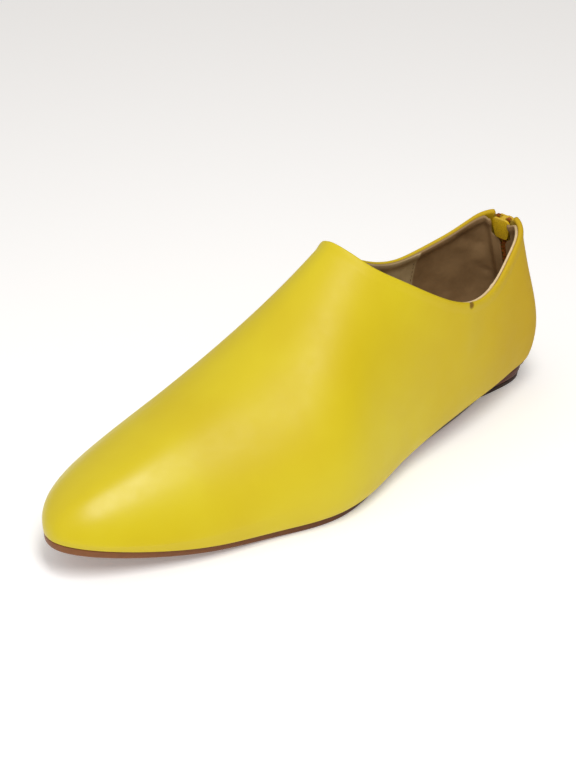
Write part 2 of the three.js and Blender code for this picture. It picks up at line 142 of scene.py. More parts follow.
outlineRows = [(stationU(x), outer, inner) for x, outer, inner in last["outline"]]
outerHalf = curveThrough(outlineRows, 1)
innerHalf = curveThrough(outlineRows, 2)
crownZ = curveThrough(last["crown"])
outerShape = [curveThrough(last["outerSection"], column) for column in (1, 2, 3, 4)]
innerShape = [curveThrough(last["innerSection"], column) for column in (1, 2, 3, 4)]
collarCurve = curveThrough(last["collar"] + ((last["throatX"], float(crownZ(last["throatX"]))),))
leanAt = curveThrough(last["heelBack"])
insetAt = curveThrough(last["soleInset"])
throatSlope = float(collarCurve(last["throatX"]) - collarCurve(last["throatX"] - 1))


def collarZ(x):  # collar line in side view, straight on past the throat
    past = np.maximum(0, x - last["throatX"])
    return collarCurve(np.minimum(x, last["throatX"])) + past * throatSlope


def undersideZ(x):  # heel seat, arch, flat ball, toe spring
    seat = np.clip((last["ballRear"] - x) / (last["ballRear"] - last["heelBreast"]), 0, 1)
    spring = np.maximum(0, x - last["ballFront"]) / (last["length"] - last["ballFront"])
    return last["heelHeight"] * (0.5 - 0.5 * np.cos(np.pi * seat)) + last["toeSpring"] * spring**2


def featherZ(x):
    return undersideZ(x) + last["soleThickness"] + last["gap"]


def heelShare(x):
    return np.maximum(0, 1 - np.maximum(0, x) / last["heelReach"])**2


def edgePoint(u, side, inset):  # outline moved square to itself by the inset
    def half(at):
        return np.where(side > 0, outerHalf(at), innerHalf(at))

    step = 1e-4
    low, high = np.maximum(0, u - step), np.minimum(1, u + step)
    end = (u <= 0) | (u >= 1)
    along = np.where(end, 0, stationX(high) - stationX(low))
    across = np.where(u <= 0, 1, np.where(u >= 1, -1, half(high) - half(low)))
    size = np.hypot(along, across)
    reach = np.where(end, 0, half(u))
    return stationX(u) + across / size * inset, np.maximum(0, reach - along / size * inset)


def skinPoint(u, v, side, inset, lift=0.0):  # v is 0 at the sole edge, 1 at the ridge, below 0 folded under
    u, v, side, inset = np.broadcast_arrays(*(np.asarray(a, float) for a in (u, v, side, inset)))
    edgeX, edgeY = edgePoint(u, side, inset)
    ridgeX = (edgeX + edgePoint(u, -side, inset)[0]) / 2
    foot = featherZ(edgeX) + lift
    base = featherZ(ridgeX) + lift
    ridge = crownZ(ridgeX) - inset * np.sqrt(1 + slopeOf(crownZ, ridgeX)**2)
    toNose = np.clip((last["length"] - inset - ridgeX) / last["noseLength"], 0, 1)
    top = base + (ridge - base) * np.sqrt(np.maximum(0, 1 - (1 - toNose)**last["noseRoundness"]))
    places = (edgeX, edgeX, ridgeX, ridgeX)
    swell, height, wall, crest = (np.where(side > 0, outer(at), inner(at))
                                  for outer, inner, at in zip(outerShape, innerShape, places))
    bulge = swell * np.minimum(1, edgeY / last["bulgeFade"])
    rise = np.minimum(height, last["riseShare"] * np.maximum(0, top - foot))
    turn = last["turnShare"]
    lowAngle = np.clip(v / turn, 0, 1) * np.pi / 2
    highAngle = np.clip((v - turn) / (1 - turn), 0, 1) * np.pi / 2
    low = v <= turn
    across = (edgeY + bulge) * np.maximum(0, np.cos(highAngle))**(2 / crest)
    up = (top - foot - rise) * np.sin(highAngle)**(2 / wall)
    y = np.where(low, edgeY + bulge * np.sin(lowAngle), across)
    z = np.where(low, foot + rise * (1 - np.cos(lowAngle)), foot + rise + up)
    y = np.where(v >= 1, 0, y)
    x = edgeX + (ridgeX - edgeX) * np.clip(v, 0, 1)
    x = x + heelShare(x - inset) * leanAt(np.clip(z - base, 0, last["heelBack"][-1][0]))
    reach = np.maximum(-v, 0) * last["foldReach"]
    foldX, foldY = edgePoint(u, side, np.maximum(reach, inset))
    under = v < 0
    x = np.where(under, foldX + heelShare(foldX - reach) * leanAt(0), x)
    y = np.where(under, foldY, y)
    z = np.where(under, featherZ(foldX) + lift, z)
    return np.stack([x, side * y, z], -1)


def slotHalf(z):
    share = (z - zipSizes["bottom"]) / (zipSizes["top"] - zipSizes["bottom"])
    return zipSizes["slotHalfBottom"] + (zipSizes["slotHalfTop"] - zipSizes["slotHalfBottom"]) * share


def zipX(z):
    return leanAt(z - featherZ(0.0)) + zipSizes["depth"]


def zipLean(z):
    return np.arctan(slopeOf(zipX, z))


def collarDepth(points):  # distance under the collar line
    x, z = points[..., 0], points[..., 2]
    return (collarZ(x) - z) / np.sqrt(1 + slopeOf(collarZ, x)**2)


def slotDepth(points, margin, corner=2.0):  # above 0 inside the zip's slot, which has rounded lower corners
    across = np.abs(points[..., 1]) - (slotHalf(points[..., 2]) + margin - corner)
    down = zipSizes["bottom"] - margin + corner - points[..., 2]
    outside = np.hypot(np.maximum(across, 0), np.maximum(down, 0))
    depth = corner - outside - np.minimum(np.maximum(across, down), 0)
    return np.where(points[..., 0] < zipSizes["region"], depth, -1)


def softStep(value):
    value = np.clip(value, 0, 1)
    return value * value * (3 - 2 * value)


def bell(value, height, middle, width):
    return height * np.exp(-((value - middle) / width)**2)


def segmentDistance(points, x, z, toX, toZ):  # to a line drawn in side view, and the share along it
    direction = np.array([toX - x, toZ - z])
    offset = np.stack([points[..., 0] - x, points[..., 2] - z], -1)
    share = np.clip(offset @ direction / (direction @ direction), 0, 1)
    return np.hypot(*np.moveaxis(offset - share[..., None] * direction, -1, 0)), share


def foldsAt(points, side, folds, ridgeFade=9, endFade=0.12):  # soft troughs, or ridges where depth is below 0
    total = np.zeros(points.shape[:-1])
    for foldSide, start, stop, width, depth in folds:
        distance, share = segmentDistance(points, *start, *stop)
        fade = np.sin(np.pi * (endFade + (1 - 2 * endFade) * share))  # shallow at both ends
        total += np.where(side == foldSide, fade * bell(distance, depth, 0, width), 0)
    return total * softStep(np.abs(points[..., 1]) / ridgeFade)


def narrowed(low, high, isLow, rounds=40):  # halves each span towards the place where the test turns false
    for _ in range(rounds):
        middle = (low + high) / 2
        stays = isLow(middle)
        low, high = np.where(stays, middle, low), np.where(stays, high, middle)
    return low


def shareFor(us, side, wanted, slack=1e-4):  # way up at that depth under the collar, or 1 at the ridge
    share = narrowed(np.zeros_like(us), np.ones_like(us),
                     lambda v: collarDepth(skinPoint(us, v, side, 0.0)) > wanted)
    return np.where(collarDepth(skinPoint(us, 1.0, side, 0.0)) > wanted - slack, 1.0, share)


def skinGrid(us, shares):  # corners are shared at the heel's back, along the ridge and at the toe
    params, index, polys = [], {}, []
    end, rows = len(us) - 1, shares[1].shape[1]
    firstUp = int((shares[1][0] < 0).sum())

    def corner(i, j, side):
        if i == end and j > firstUp:
            j = firstUp
        if i in (0, end) or shares[1][i, j] == 1:
            side = 1
        key = (i, j, side)
        if key not in index:
            index[key] = len(params)
            params.append((us[i], shares[side][i, j], side))
        return index[key]

    for side in (1, -1):
        for i in range(end):
            for j in range(rows - 1):
                cell = ((i, j), (i + 1, j), (i + 1, j + 1), (i, j + 1))
                ring = [corner(*at, side) for at in cell]
                ring = [a for k, a in enumerate(ring) if a != ring[k - 1]]
                if len(ring) > 2:
                    polys.append(ring[::-1] if side > 0 else ring)
    return np.array(params, float), polys


def sidesOf(poly):
    return zip(poly, poly[1:] + poly[:1])


def cutAway(params, polys, field, snapShare=0.2):  # takes away what lies where the field is above 0
    isGone = field(params) > 0
    edges = {}
    for poly in polys:
        for a, b in sidesOf(poly):
            if isGone[a] != isGone[b]:
                edges.setdefault((a, b) if isGone[b] else (b, a), len(edges))
    if not edges:
        return params, polys
    kept = params[[a for a, b in edges]]
    gone = params[[b for a, b in edges]]
    onSeam = (kept[:, 0] == 0) | (kept[:, 1] == 1)
    side = np.where(onSeam, gone[:, 2], kept[:, 2])

    def between(share):
        place = kept + (gone - kept) * share[:, None]
        place[:, 2] = side
        return place

    low = narrowed(np.zeros(len(kept)), np.ones(len(kept)), lambda share: field(between(share)) <= 0)
    cut = between(low)
    params = params.copy()
    snapped = set()
    for (a, b), k in edges.items():  # a corner close to the line moves onto it, so no slivers are left
        if low[k] < snapShare and a not in snapped:
            params[a, :2] = cut[k, :2]
            snapped.add(a)
    base = len(params)
    result = []
    for poly in polys:
        ring = []
        for a, b in sidesOf(poly):
            if not isGone[a]:
                ring.append(a)
            if isGone[a] != isGone[b]:
                key = (a, b) if isGone[b] else (b, a)
                if key[0] not in snapped:
                    ring.append(base + edges[key])
        if len(ring) > 2:
            result.append(ring)
    return np.concatenate([params, cut]), result


def shellPiece(polys, outer, inner, rimSteps, rimReach=0.9):  # two skins joined by a rounded rim
    used = sorted({i for poly in polys for i in poly})
    order = {old: new for new, old in enumerate(used)}
    polys = [[order[i] for i in poly] for poly in polys]
    outer, inner = outer[used], inner[used]
    count = len(used)
    faces = polys + [[i + count for i in reversed(poly)] for poly in polys]
    kinds = [0] * len(polys) + [2] * len(polys)
    owner = {}
    for number, poly in enumerate(polys):
        for a, b in sidesOf(poly):
            owner[(a, b)] = number
    border = [edge for edge in owner if (edge[1], edge[0]) not in owner]
    after = dict(border)
    before = {b: a for a, b in border}
    rim = [a for a in after if a in before]
    p, q = outer[rim], inner[rim]
    along = outer[[after[a] for a in rim]] - outer[[before[a] for a in rim]]
    out = np.cross(along, p - q)
    out /= np.maximum(np.linalg.norm(out, axis=1, keepdims=True), 1e-9)
    centre = np.array([outer[polys[owner[(a, after[a])]]].mean(0) for a in rim])
    out *= np.sign((out * (p - centre)).sum())  # all of it away from the skin
    half = (p - q) / 2
    reach = np.linalg.norm(half, axis=1, keepdims=True) * rimReach
    layers = [{a: a for a in rim}]
    points = [outer, inner]
    total = 2 * count
    for k in range(1, rimSteps):
        angle = np.pi * k / rimSteps
        points.append((p + q) / 2 + half * math.cos(angle) + out * reach * math.sin(angle))
        layers.append({a: total + n for n, a in enumerate(rim)})
        total += len(rim)
    layers.append({a: a + count for a in rim})
    for a, b in border:
        if a in layers[0] and b in layers[0]:
            for k, (upper, lower) in enumerate(zip(layers, layers[1:])):
                faces.append([upper[b], upper[a], lower[a], lower[b]])
                kinds.append(1 if 2 * k < rimSteps else 2)
    return np.concatenate(points), faces, kinds


weldDistance = 1e-6  # metres


def shaded(mesh, sharpAngle):  # smooth, but for edges sharper than the angle in degrees
    mesh.shade_smooth()
    if sharpAngle:
        mesh.set_sharp_from_angle(angle=math.radians(sharpAngle))
    mesh.update()


def inScene(name, data):
    item = bpy.data.objects.new(name, data)
    scene.collection.objects.link(item)
    return item


def addPiece(name, points, faces, materials, kinds=None, sharpAngle=None, mend=False):
    mesh = bpy.data.meshes.new(name)
    mesh.from_pydata(toFrame(points).tolist(), [], [list(face) for face in faces])
    for material in materials:
        mesh.materials.append(material)
    if kinds is not None:
        mesh.polygons.foreach_set("material_index", np.array(kinds, np.int32))
    if mend:
        work = bmesh.new()
        work.from_mesh(mesh)
        bmesh.ops.remove_doubles(work, verts=work.verts, dist=weldDistance)
        bmesh.ops.dissolve_degenerate(work, edges=work.edges, dist=weldDistance)
        bmesh.ops.recalc_face_normals(work, faces=work.faces)
        work.to_mesh(mesh)
        work.free()
    shaded(mesh, sharpAngle)
    return inScene(name, mesh)


def settle(piece, body, slot, *nodes):
    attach(piece, body)
    if nodes:
        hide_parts(*nodes)


def loft(rings):  # closed rings of equal length, one after the other, capped at both ends
    rings = np.asarray(rings, float)
    index = np.arange(rings.shape[0] * rings.shape[1]).reshape(rings.shape[:2]).tolist()
    faces = [[a, b, d, c] for low, high in zip(index, index[1:])
             for (a, b), (c, d) in zip(sidesOf(low), sidesOf(high))]
    return rings.reshape(-1, 3), faces + [index[0][::-1], index[-1]]


def joined(shapes):  # several shapes as one list of points and one of faces
    points, faces = [], []
    for corners, rings in shapes:
        faces += [[i + len(points) for i in ring] for ring in rings]
        points += corners.tolist()
    return points, faces


def tone(red, green, blue):  # screen colour to linear
    return tuple((c / 12.92 if c <= 0.04045 else ((c + 0.055) / 1.055)**2.4) for c in
                 (red / 255, green / 255, blue / 255)) + (1.0,)


def startMaterial(name):
    material = bpy.data.materials.new(name)
    material.use_nodes = True
    nodes = material.node_tree.nodes
    return material, nodes["Principled BSDF"], nodes.new("ShaderNodeTexCoord").outputs["Object"]


def feed(node, inputs):  # each input takes a link or a constant
    for socket, source in inputs.items():
        if isinstance(source, bpy.types.NodeSocket):
            node.id_data.links.new(source, node.inputs[socket])
        else:
            node.inputs[socket].default_value = source


def addNode(kind, inputs, output=0, **settings):  # in the tree that its linked inputs are from
    tree = next(source.id_data for source in inputs.values() if isinstance(source, bpy.types.NodeSocket))
    node = tree.nodes.new("ShaderNode" + kind)
    for name, value in settings.items():
        setattr(node, name, value)
    feed(node, inputs)
    return node.outputs[output]


def noise(place, scale, detail=2.0, roughness=0.5):
    inputs = {"Vector": place, "Scale": scale, "Detail": detail, "Roughness": roughness}
    return addNode("TexNoise", inputs, "Fac")


def cells(place, scale):
    return addNode("TexVoronoi", {"Vector": place, "Scale": scale}, "Distance")


def stretched(place, scale):  # coordinates scaled along each axis
    return addNode("Mapping", {"Vector": place, "Scale": scale})


def ranged(value, fromLow, fromHigh, low, high):
    inputs = {"Value": value, "From Min": fromLow, "From Max": fromHigh, "To Min": low, "To Max": high}
    return addNode("MapRange", inputs)


def alongAxis(place, axis, span, low=0.0, high=1.0):  # from low to high over that span of one axis
    return ranged(addNode("SeparateXYZ", {"Vector": place}, axis), *span, low, high)


def ramp(value, stops):
    node = value.id_data.nodes.new("ShaderNodeValToRGB")
    line = node.color_ramp.elements
    while len(line) < len(stops):
        line.new(0.5)
    for element, (at, colour) in zip(line, stops):
        element.position = at
        element.color = colour
    feed(node, {"Fac": value})
    return node.outputs["Color"]


def mixed(share, first, second, kind="MIX"):
    inputs = {0: share, 6: first, 7: second}  # the sockets for colours
    return addNode("Mix", inputs, 2, data_type="RGBA", blend_type=kind)


def math2(kind, first, second):
    return addNode("Math", {0: first, 1: second}, operation=kind)


def addBump(shader, height, strength, distance):  # over the bump that is there already
    inputs = {"Height": height, "Strength": strength, "Distance": distance}
    if shader.inputs["Normal"].is_linked:
        inputs["Normal"] = shader.inputs["Normal"].links[0].from_socket
    feed(shader, {"Normal": addNode("Bump", inputs)})


# In the looks a noise is scale, detail and roughness, and a relief is strength and height in metres
noiseSpan = (0.3, 0.7)  # where most values of a noise lie
leatherLook = {
    "tones": ((0.34, tone(208, 185, 18)), (0.66, tone(214, 195, 26))),
    "toneNoise": (22.0, 3.0),
    "roughness": (0.46, 0.54),
    "streakNoise": (160.0, 4.0, 0.6),
    "heelMatt": 0.24,  # added to the roughness towards the heel
    "toePolish": 0.16,  # taken off the roughness towards the toe
    "paintedHeelShade": (0.87, 0.71, 0.3, 1.0),  # painted shade: darker and warmer towards the heel
    "heelRange": (-0.12, -0.03),  # metres along the shoe, as is the next
    "toeRange": (0.055, 0.1),
    "specular": 0.38,
    "poreSize": 0.0006,
    "poreRelief": (0.06, 0.00012),
    "waveNoise": (90.0, 3.0),
    "waveRelief": (0.08, 0.0008),
    "mark": {  # small dark nick under the collar
        "at": (60.3, 28.1, 60.4), "turn": 37.7, "half": (1.9, 4.0, 1.6), "fade": (0.6, 1.15, 0.85, 0.0),
        "colour": tone(104, 66, 12)},
}


def yellowLeather():
    look, mark = leatherLook, leatherLook["mark"]
    material, shader, place = startMaterial("yellowLeather")
    heel = alongAxis(place, "X", look["heelRange"], 1.0, 0.0)
    colour = ramp(noise(place, *look["toneNoise"]), look["tones"])
    # painted shade: towards the heel the colour is multiplied darker and warmer
    colour = mixed(heel, colour, mixed(1.0, colour, look["paintedHeelShade"], "MULTIPLY"))
    spot = addNode("Mapping", {
        "Vector": place, "Location": toFrame(mark["at"]), "Rotation": (0, math.radians(mark["turn"]), 0),
        "Scale": [half / 1000 for half in mark["half"]]}, vector_type="TEXTURE")
    reach = addNode("VectorMath", {0: spot}, "Value", operation="LENGTH")
    nick = ranged(reach, *mark["fade"])
    matt = ranged(noise(place, *look["streakNoise"]), *noiseSpan, *look["roughness"])
    matt = math2("ADD", matt, ranged(heel, 0.0, 1.0, 0.0, look["heelMatt"]))
    polish = alongAxis(place, "X", look["toeRange"], 0.0, look["toePolish"])
    feed(shader, {
        "Base Color": mixed(nick, colour, mark["colour"]),
        "Roughness": math2("SUBTRACT", matt, polish), "Specular IOR Level": look["specular"]})
    addBump(shader, cells(place, 1 / look["poreSize"]), *look["poreRelief"])
    addBump(shader, noise(place, *look["waveNoise"]), *look["waveRelief"])
    return material


liningLook = {
    "front": tone(198, 174, 130),
    "back": tone(160, 128, 88),
    "sock": tone(176, 150, 108),
    "seamX": 40.0,
    "seamBlur": 0.4,
    "wear": ((0.34, (0.66, 0.62, 0.56, 1)), (0.62, (1, 1, 1, 1))),
    "wearNoise": (60.0, 4.0, 0.6),
    "roughness": 0.62,
    "poreScale": 1400.0,
    "poreRelief": (0.1, 0.00015),
    "creaseNoise": (240.0, 4.0, 0.6),
    "creaseRelief": (0.25, 0.0006),
}


def softLining(name, front, back):
    look = liningLook
    material, shader, place = startMaterial(name)
    seam = [toFrame((look["seamX"] + blur, 0, 0))[0] for blur in (-look["seamBlur"], look["seamBlur"])]
    share = alongAxis(place, "X", seam)
    wear = ramp(noise(place, *look["wearNoise"]), look["wear"])
    colour = mixed(1.0, mixed(share, back, front), wear, "MULTIPLY")
    feed(shader, {"Base Color": colour, "Roughness": look["roughness"]})
    addBump(shader, cells(place, look["poreScale"]), *look["poreRelief"])
    addBump(shader, noise(place, *look["creaseNoise"]), *look["creaseRelief"])
    return material


tapeLook = {
    "tones": ((0.0, tone(150, 118, 34)), (0.6, tone(222, 190, 60))),
    "ribs": 900.0,
    "slant": 0.7,
    "waver": 0.6,
    "roughness": 0.85,
    "relief": (0.6, 0.0003),
}


def wovenTape():
    look = tapeLook
    material, shader, place = startMaterial("wovenTape")
    ribs = []
    for turn in (look["slant"], -look["slant"]):  # two slanted sets of ribs make a herringbone
        slanted = addNode("Mapping", {"Vector": place, "Rotation": (turn, 0, 0)})
        inputs = {"Vector": slanted, "Scale": look["ribs"], "Distortion": look["waver"]}
        ribs.append(addNode("TexWave", inputs, "Fac", bands_direction="Z"))
    weave = math2("MULTIPLY", *ribs)
    feed(shader, {"Base Color": ramp(weave, look["tones"]), "Roughness": look["roughness"]})
    addBump(shader, weave, *look["relief"])
    return material


threadLook = {"noise": (3000.0, 2.0), "relief": (0.4, 0.0001), "sockets": {"Roughness": 0.6}}
finishes = {
    "creamEdge": {
        "tones": ((0.3, tone(214, 186, 140)), (0.7, tone(232, 208, 166))), "noise": (900.0, 3.0),
        # the edge is darker on the inner side
        "innerSideTone": tone(150, 122, 78), "innerSideRange": (0.004, 0.012), "relief": (0.3, 0.0002),
        "sockets": {"Roughness": 0.7}},
    # sole edge: stain with painted shade and light along the shoe
    "stainedAndShadedEdge": {
        "tones": ((0.3, (0.78, 0.76, 0.74, 1)), (0.7, (1.06, 1.05, 1.04, 1))), "noise": (300.0, 4.0, 0.6),
        "stainAndShade": (  # heel, waist, ball and tip: edge stain with painted shade, darker at the waist and heel under the upper, lighter at the lit toe
            (0.05, tone(62, 34, 22)), (0.3, tone(44, 24, 14)), (0.5, tone(44, 24, 14)),
            (0.6, tone(104, 62, 36)), (0.97, tone(138, 88, 50))),
        "stainAndShadeRange": (-0.129, 0.129), "stretch": (1.0, 1.0, 9.0), "roughness": (0.42, 0.58),
        "relief": (0.25, 0.0003), "sockets": {"Specular IOR Level": 0.25}},
    "soleBottom": {
        "tones": ((0.32, tone(118, 76, 46)), (0.68, tone(138, 92, 58))), "noise": (45.0, 5.0, 0.6),
        "roughness": (0.4, 0.6), "poreNoise": (1500.0, 3.0), "relief": (0.2, 0.0002)},
    "heelStack": {
        "tones": ((0.3, tone(68, 30, 17)), (0.72, tone(108, 56, 33))), "noise": (220.0, 5.0, 0.65),
        "stretch": (1.0, 1.0, 12.0), "roughness": (0.36, 0.5), "relief": (0.3, 0.0003),
        "sockets": {"Specular IOR Level": 0.25}},
    "darkRubber": {
        "tones": ((0.3, tone(36, 20, 14)), (0.7, tone(58, 33, 23))), "noise": (350.0, 4.0),
        "poreNoise": (2200.0, 2.0), "relief": (0.25, 0.0002), "sockets": {"Roughness": 0.72}},
    "warmBrass": {
        "tones": ((0.3, tone(128, 68, 20)), (0.7, tone(190, 112, 40))), "noise": (700.0, 3.0),
        "roughness": (0.46, 0.6), "relief": (0.1, 0.0001), "sockets": {"Metallic": 0.6}},
    "yellowLacquer": {
        "tones": ((0.32, tone(190, 148, 10)), (0.62, tone(226, 190, 22))), "noise": (2600.0, 2.0),
        "roughness": (0.26, 0.4), "relief": (0.12, 0.0001), "sockets": {"Coat Weight": 0.3}},
    "matchingThread": {"tones": ((0.3, tone(186, 156, 36)), (0.7, tone(226, 200, 70))), **threadLook},
    "tanThread": {"tones": ((0.3, tone(110, 84, 52)), (0.7, tone(150, 122, 82))), **threadLook},
}


def mottled(name, look):  # two tones, gloss and relief that follow one noise
    material, shader, place = startMaterial(name)
    where = stretched(place, look["stretch"]) if "stretch" in look else place
    grain = noise(where, *look["noise"])
    colour = ramp(grain, look["tones"])
    if "stainAndShade" in look:  # colours along the shoe, edge stain with painted shade and painted light, multiplied by the two tones
        stainAndShade = ramp(alongAxis(place, "X", look["stainAndShadeRange"]), look["stainAndShade"])
        colour = mixed(1.0, stainAndShade, colour, "MULTIPLY")
    if "innerSideTone" in look:  # colour of the inner side
        colour = mixed(alongAxis(place, "Y", look["innerSideRange"]), look["innerSideTone"], colour)
    inputs = {"Base Color": colour, **look.get("sockets", {})}
    if "roughness" in look:
        inputs["Roughness"] = ranged(grain, *noiseSpan, *look["roughness"])
    feed(shader, inputs)
    height = noise(place, *look["poreNoise"]) if "poreNoise" in look else grain
    addBump(shader, height, *look["relief"])
    return material


leather = yellowLeather()
lining = softLining("softLining", liningLook["front"], liningLook["back"])
sock = softLining("sockLining", liningLook["sock"], liningLook["sock"])
tape = wovenTape()
finish = {name: mottled(name, look) for name, look in finishes.items()}
print("materials made")

upperSizes = {
    "stations": 160,
    "closeStations": ((55.0, 67.0), (103.0, 119.0)),  # finer at the mark under the collar and at the throat
    "closePitch": 0.8,
    "tipStations": (0.06, 0.18, 0.4),  # and behind its tip, where the collar line crosses the ridge
    "tipSearch": 12.0,  # on both sides of the throat
    "tipClear": 8e-4,  # no other station this near the tip
    "leastStep": 4e-4,
    "foldShares": (-1.0, -0.6, -0.25),
    "turnRows": 8,
    "wallRows": 30,
    "bandRows": 14,  # close rows along the collar
    "band": 6.0,
    "bandFrom": 0.88,  # highest share of the wall at which the band may start
    "leather": 1.3,
    "slotMargin": 0.6,
    "rimFall": 1.0,  # how far the cut edge stays under the collar line, for the rounded rim
    "rimSteps": 8,
    "rimThicker": (0.65, 0.0, 3.0),  # height, depth under the collar and width, as are the next two
    "roll": (0.52, 1.7, 2.0),  # turned edge along the collar
    "groove": (0.06, 4.5, 1.1),
    "creases": (  # side, from x and z, to x and z, width, depth
        (1, (59.2, 61.1), (61.4, 59.5), 0.8, 0.8), (1, (63.0, 58.0), (68.0, 42.0), 8.0, -0.35),
        (1, (51.0, 57.0), (55.0, 36.0), 8.5, 0.75), (1, (118.0, 74.0), (128.0, 30.0), 12.0, 0.45),
        (1, (100.0, 66.0), (104.0, 24.0), 11.0, -0.35), (-1, (51.0, 57.0), (55.0, 34.0), 8.5, 0.7),
        (-1, (118.0, 72.0), (128.0, 28.0), 12.0, 0.4)),
}
liningSizes = {
    "from": 1.34,
    "to": 2.0,
    "fall": 0.6,
    "rimSteps": 5,
    "rimIn": (0.7, 0.0, 3.0),  # the same three values: the thicker leather rim pushes it in
    "rimThicker": (0.2, 0.0, 1.5),
    "roll": (0.8, 2.2, 2.4),  # soft padded roll under the edge
    "seamRidge": 0.4,
    "seamWidth": 0.6,
    "overTape": 2.05,  # it lies over the tapes' inner faces
    "overBeside": 4.2,  # so far past the slot's sides
    "overBelow": 5.0,
    "overFade": 3.0,
    "slotAbove": 1.0,  # over the bottom of the leather's slot
    "slotHalf": 1.7,
    "slotHalfTop": 5.6,
    "slotWidens": (63.5, 67.5),
    "wrinkles": (  # the same columns
        (-1, (21.0, 67.5), (14.0, 60.5), 2.0, 0.55), (-1, (24.0, 63.5), (17.0, 57.5), 3.0, -0.5),
        (-1, (12.5, 63.0), (10.5, 59.0), 1.8, 0.6), (-1, (7.6, 46.4), (4.8, 44.6), 0.9, 0.7),
        (-1, (36.0, 50.0), (22.0, 44.0), 4.0, -0.5), (-1, (12.0, 55.0), (9.0, 50.0), 2.0, -0.5),
        (1, (30.0, 56.0), (18.0, 50.0), 2.6, -0.5)),
}


def upperStations(fall):  # one of them stands where the cut crosses the ridge
    sizes = upperSizes
    low, high = (stationU(last["throatX"] + side * sizes["tipSearch"]) for side in (-1, 1))
    tip = float(narrowed(low, high, lambda u: collarDepth(skinPoint(u, 1.0, 1, 0.0)) <= fall))
    us = list(np.linspace(0, 1, sizes["stations"] + 1))
    for start, stop in sizes["closeStations"]:
        us += [stationU(x) for x in np.arange(start, stop, sizes["closePitch"])]
    close = [stationU(float(stationX(tip)) - back) for back in (0.0,) + sizes["tipStations"]]
    us = [u for u in us if u < close[-1] - sizes["tipClear"] or u > tip + sizes["tipClear"]]
    us, least = sorted(us + close), sizes["leastStep"]
    return np.array([u for k, u in enumerate(us) if k == 0 or u in close or u - us[k - 1] > least])


def upperGrid(withFold, fall):  # rows follow the collar line in its band
    sizes = upperSizes
    us = upperStations(fall)
    shares = {}
    for side in (1, -1):
        top = shareFor(us, side, fall)
        low = np.minimum(shareFor(us, side, fall + sizes["band"]), sizes["bandFrom"] * top)
        turn = np.full_like(us, last["turnShare"])
        columns = [np.full_like(us, v) for v in sizes["foldShares"]] if withFold else []
        columns += [turn * k / sizes["turnRows"] for k in range(sizes["turnRows"])]
        columns += [turn + (low - turn) * k / sizes["wallRows"] for k in range(sizes["wallRows"])]
        columns += [low + (top - low) * k / sizes["bandRows"] for k in range(sizes["bandRows"] + 1)]
        shares[side] = np.stack(columns, 1)
        shares[side][top >= 1, -1] = 1
    return skinGrid(us, shares)


def onSkin(params, inset=0.0, lift=0.0):
    return skinPoint(*params.T, inset, lift)


def cutWall(withFold, fall, field):  # its grid, its places and their depth under the collar
    params, polys = cutAway(*upperGrid(withFold, fall), field)
    plain = onSkin(params)
    return params, polys, plain, np.maximum(collarDepth(plain), 0)


def makeUpper():
    sizes = upperSizes
    params, polys, plain, depth = cutWall(
        True, sizes["rimFall"], lambda p: slotDepth(onSkin(p), sizes["slotMargin"]))
    creases = foldsAt(plain, params[:, 2], sizes["creases"])
    outer = onSkin(params, creases + bell(depth, *sizes["groove"]) - bell(depth, *sizes["roll"]))
    thicker = bell(depth, *sizes["rimThicker"])
    inner = onSkin(params, sizes["leather"] + thicker, last["foldThickness"])
    points, faces, _ = shellPiece(polys, outer, inner, sizes["rimSteps"])
    piece = addPiece("upperLeather", points, faces, [leather])
    settle(piece, "shoe", "upper_leather", "upper")
    print("upper:", len(faces), "faces")


def liningSlot(points):  # above 0 where the lining leaves the zip free
    low, high = liningSizes["slotWidens"]
    widens = softStep((points[..., 2] - low) / (high - low))
    half = liningSizes["slotHalf"] + (liningSizes["slotHalfTop"] - liningSizes["slotHalf"]) * widens
    bottom = zipSizes["bottom"] + liningSizes["slotAbove"]
    free = np.minimum(half - np.abs(points[..., 1]), points[..., 2] - bottom)
    return np.where(points[..., 0] < zipSizes["region"], free, -1)


def makeLining():
    sizes = liningSizes
    params, polys, plain, depth = cutWall(
        False, sizes["fall"], lambda p: liningSlot(onSkin(p, sizes["to"] + sizes["overTape"])))
    fade = sizes["overFade"]
    nearZip = softStep((slotHalf(plain[:, 2]) + sizes["overBeside"] - np.abs(plain[:, 1])) / fade)
    nearZip *= softStep((plain[:, 2] - zipSizes["bottom"] + sizes["overBelow"]) / fade)
    nearZip *= plain[:, 0] < zipSizes["region"]
    pushed = bell(depth, *sizes["rimIn"]) + sizes["overTape"] * nearZip
    roll = bell(depth, *sizes["rimThicker"]) + bell(depth, *sizes["roll"])
    seam = bell(plain[:, 0], sizes["seamRidge"], liningLook["seamX"], sizes["seamWidth"])
    wrinkles = foldsAt(plain, params[:, 2], sizes["wrinkles"])
    outer = onSkin(params, sizes["from"] + pushed, last["foldThickness"])
    inner = onSkin(params, sizes["to"] + pushed + roll + seam - wrinkles, last["foldThickness"])
    points, faces, kinds = shellPiece(polys, outer, inner, sizes["rimSteps"])
    piece = addPiece("upperLining", points, faces, [lining, finish["creamEdge"], lining], kinds)
    settle(piece, "shoe", "lining", "upper")
    print("lining:", len(faces), "faces")


makeUpper()
makeLining()

soleSizes = {
    "stations": 150,
    "across": 9,
    "edge": (  # from the top down: extra inset, height over the underside
        (0.25, 3.5), (0.05, 3.3), (0.0, 2.9), (0.0, 1.2), (0.12, 0.75), (0.4, 0.3), (0.9, 0.06), (1.4, 0.0)),
    "underNormal": -0.75,  # faces that look down more than this are the bottom
    "sockEdge": ((0.9, 2.0), (0.3, 1.85), (0.05, 1.5), (0.0, 1.0), (0.0, 0.0)),  # the same over its seat
    "sockInset": 2.4,
    "sockEnd": 245.0,
    "sockSharp": 50,
}


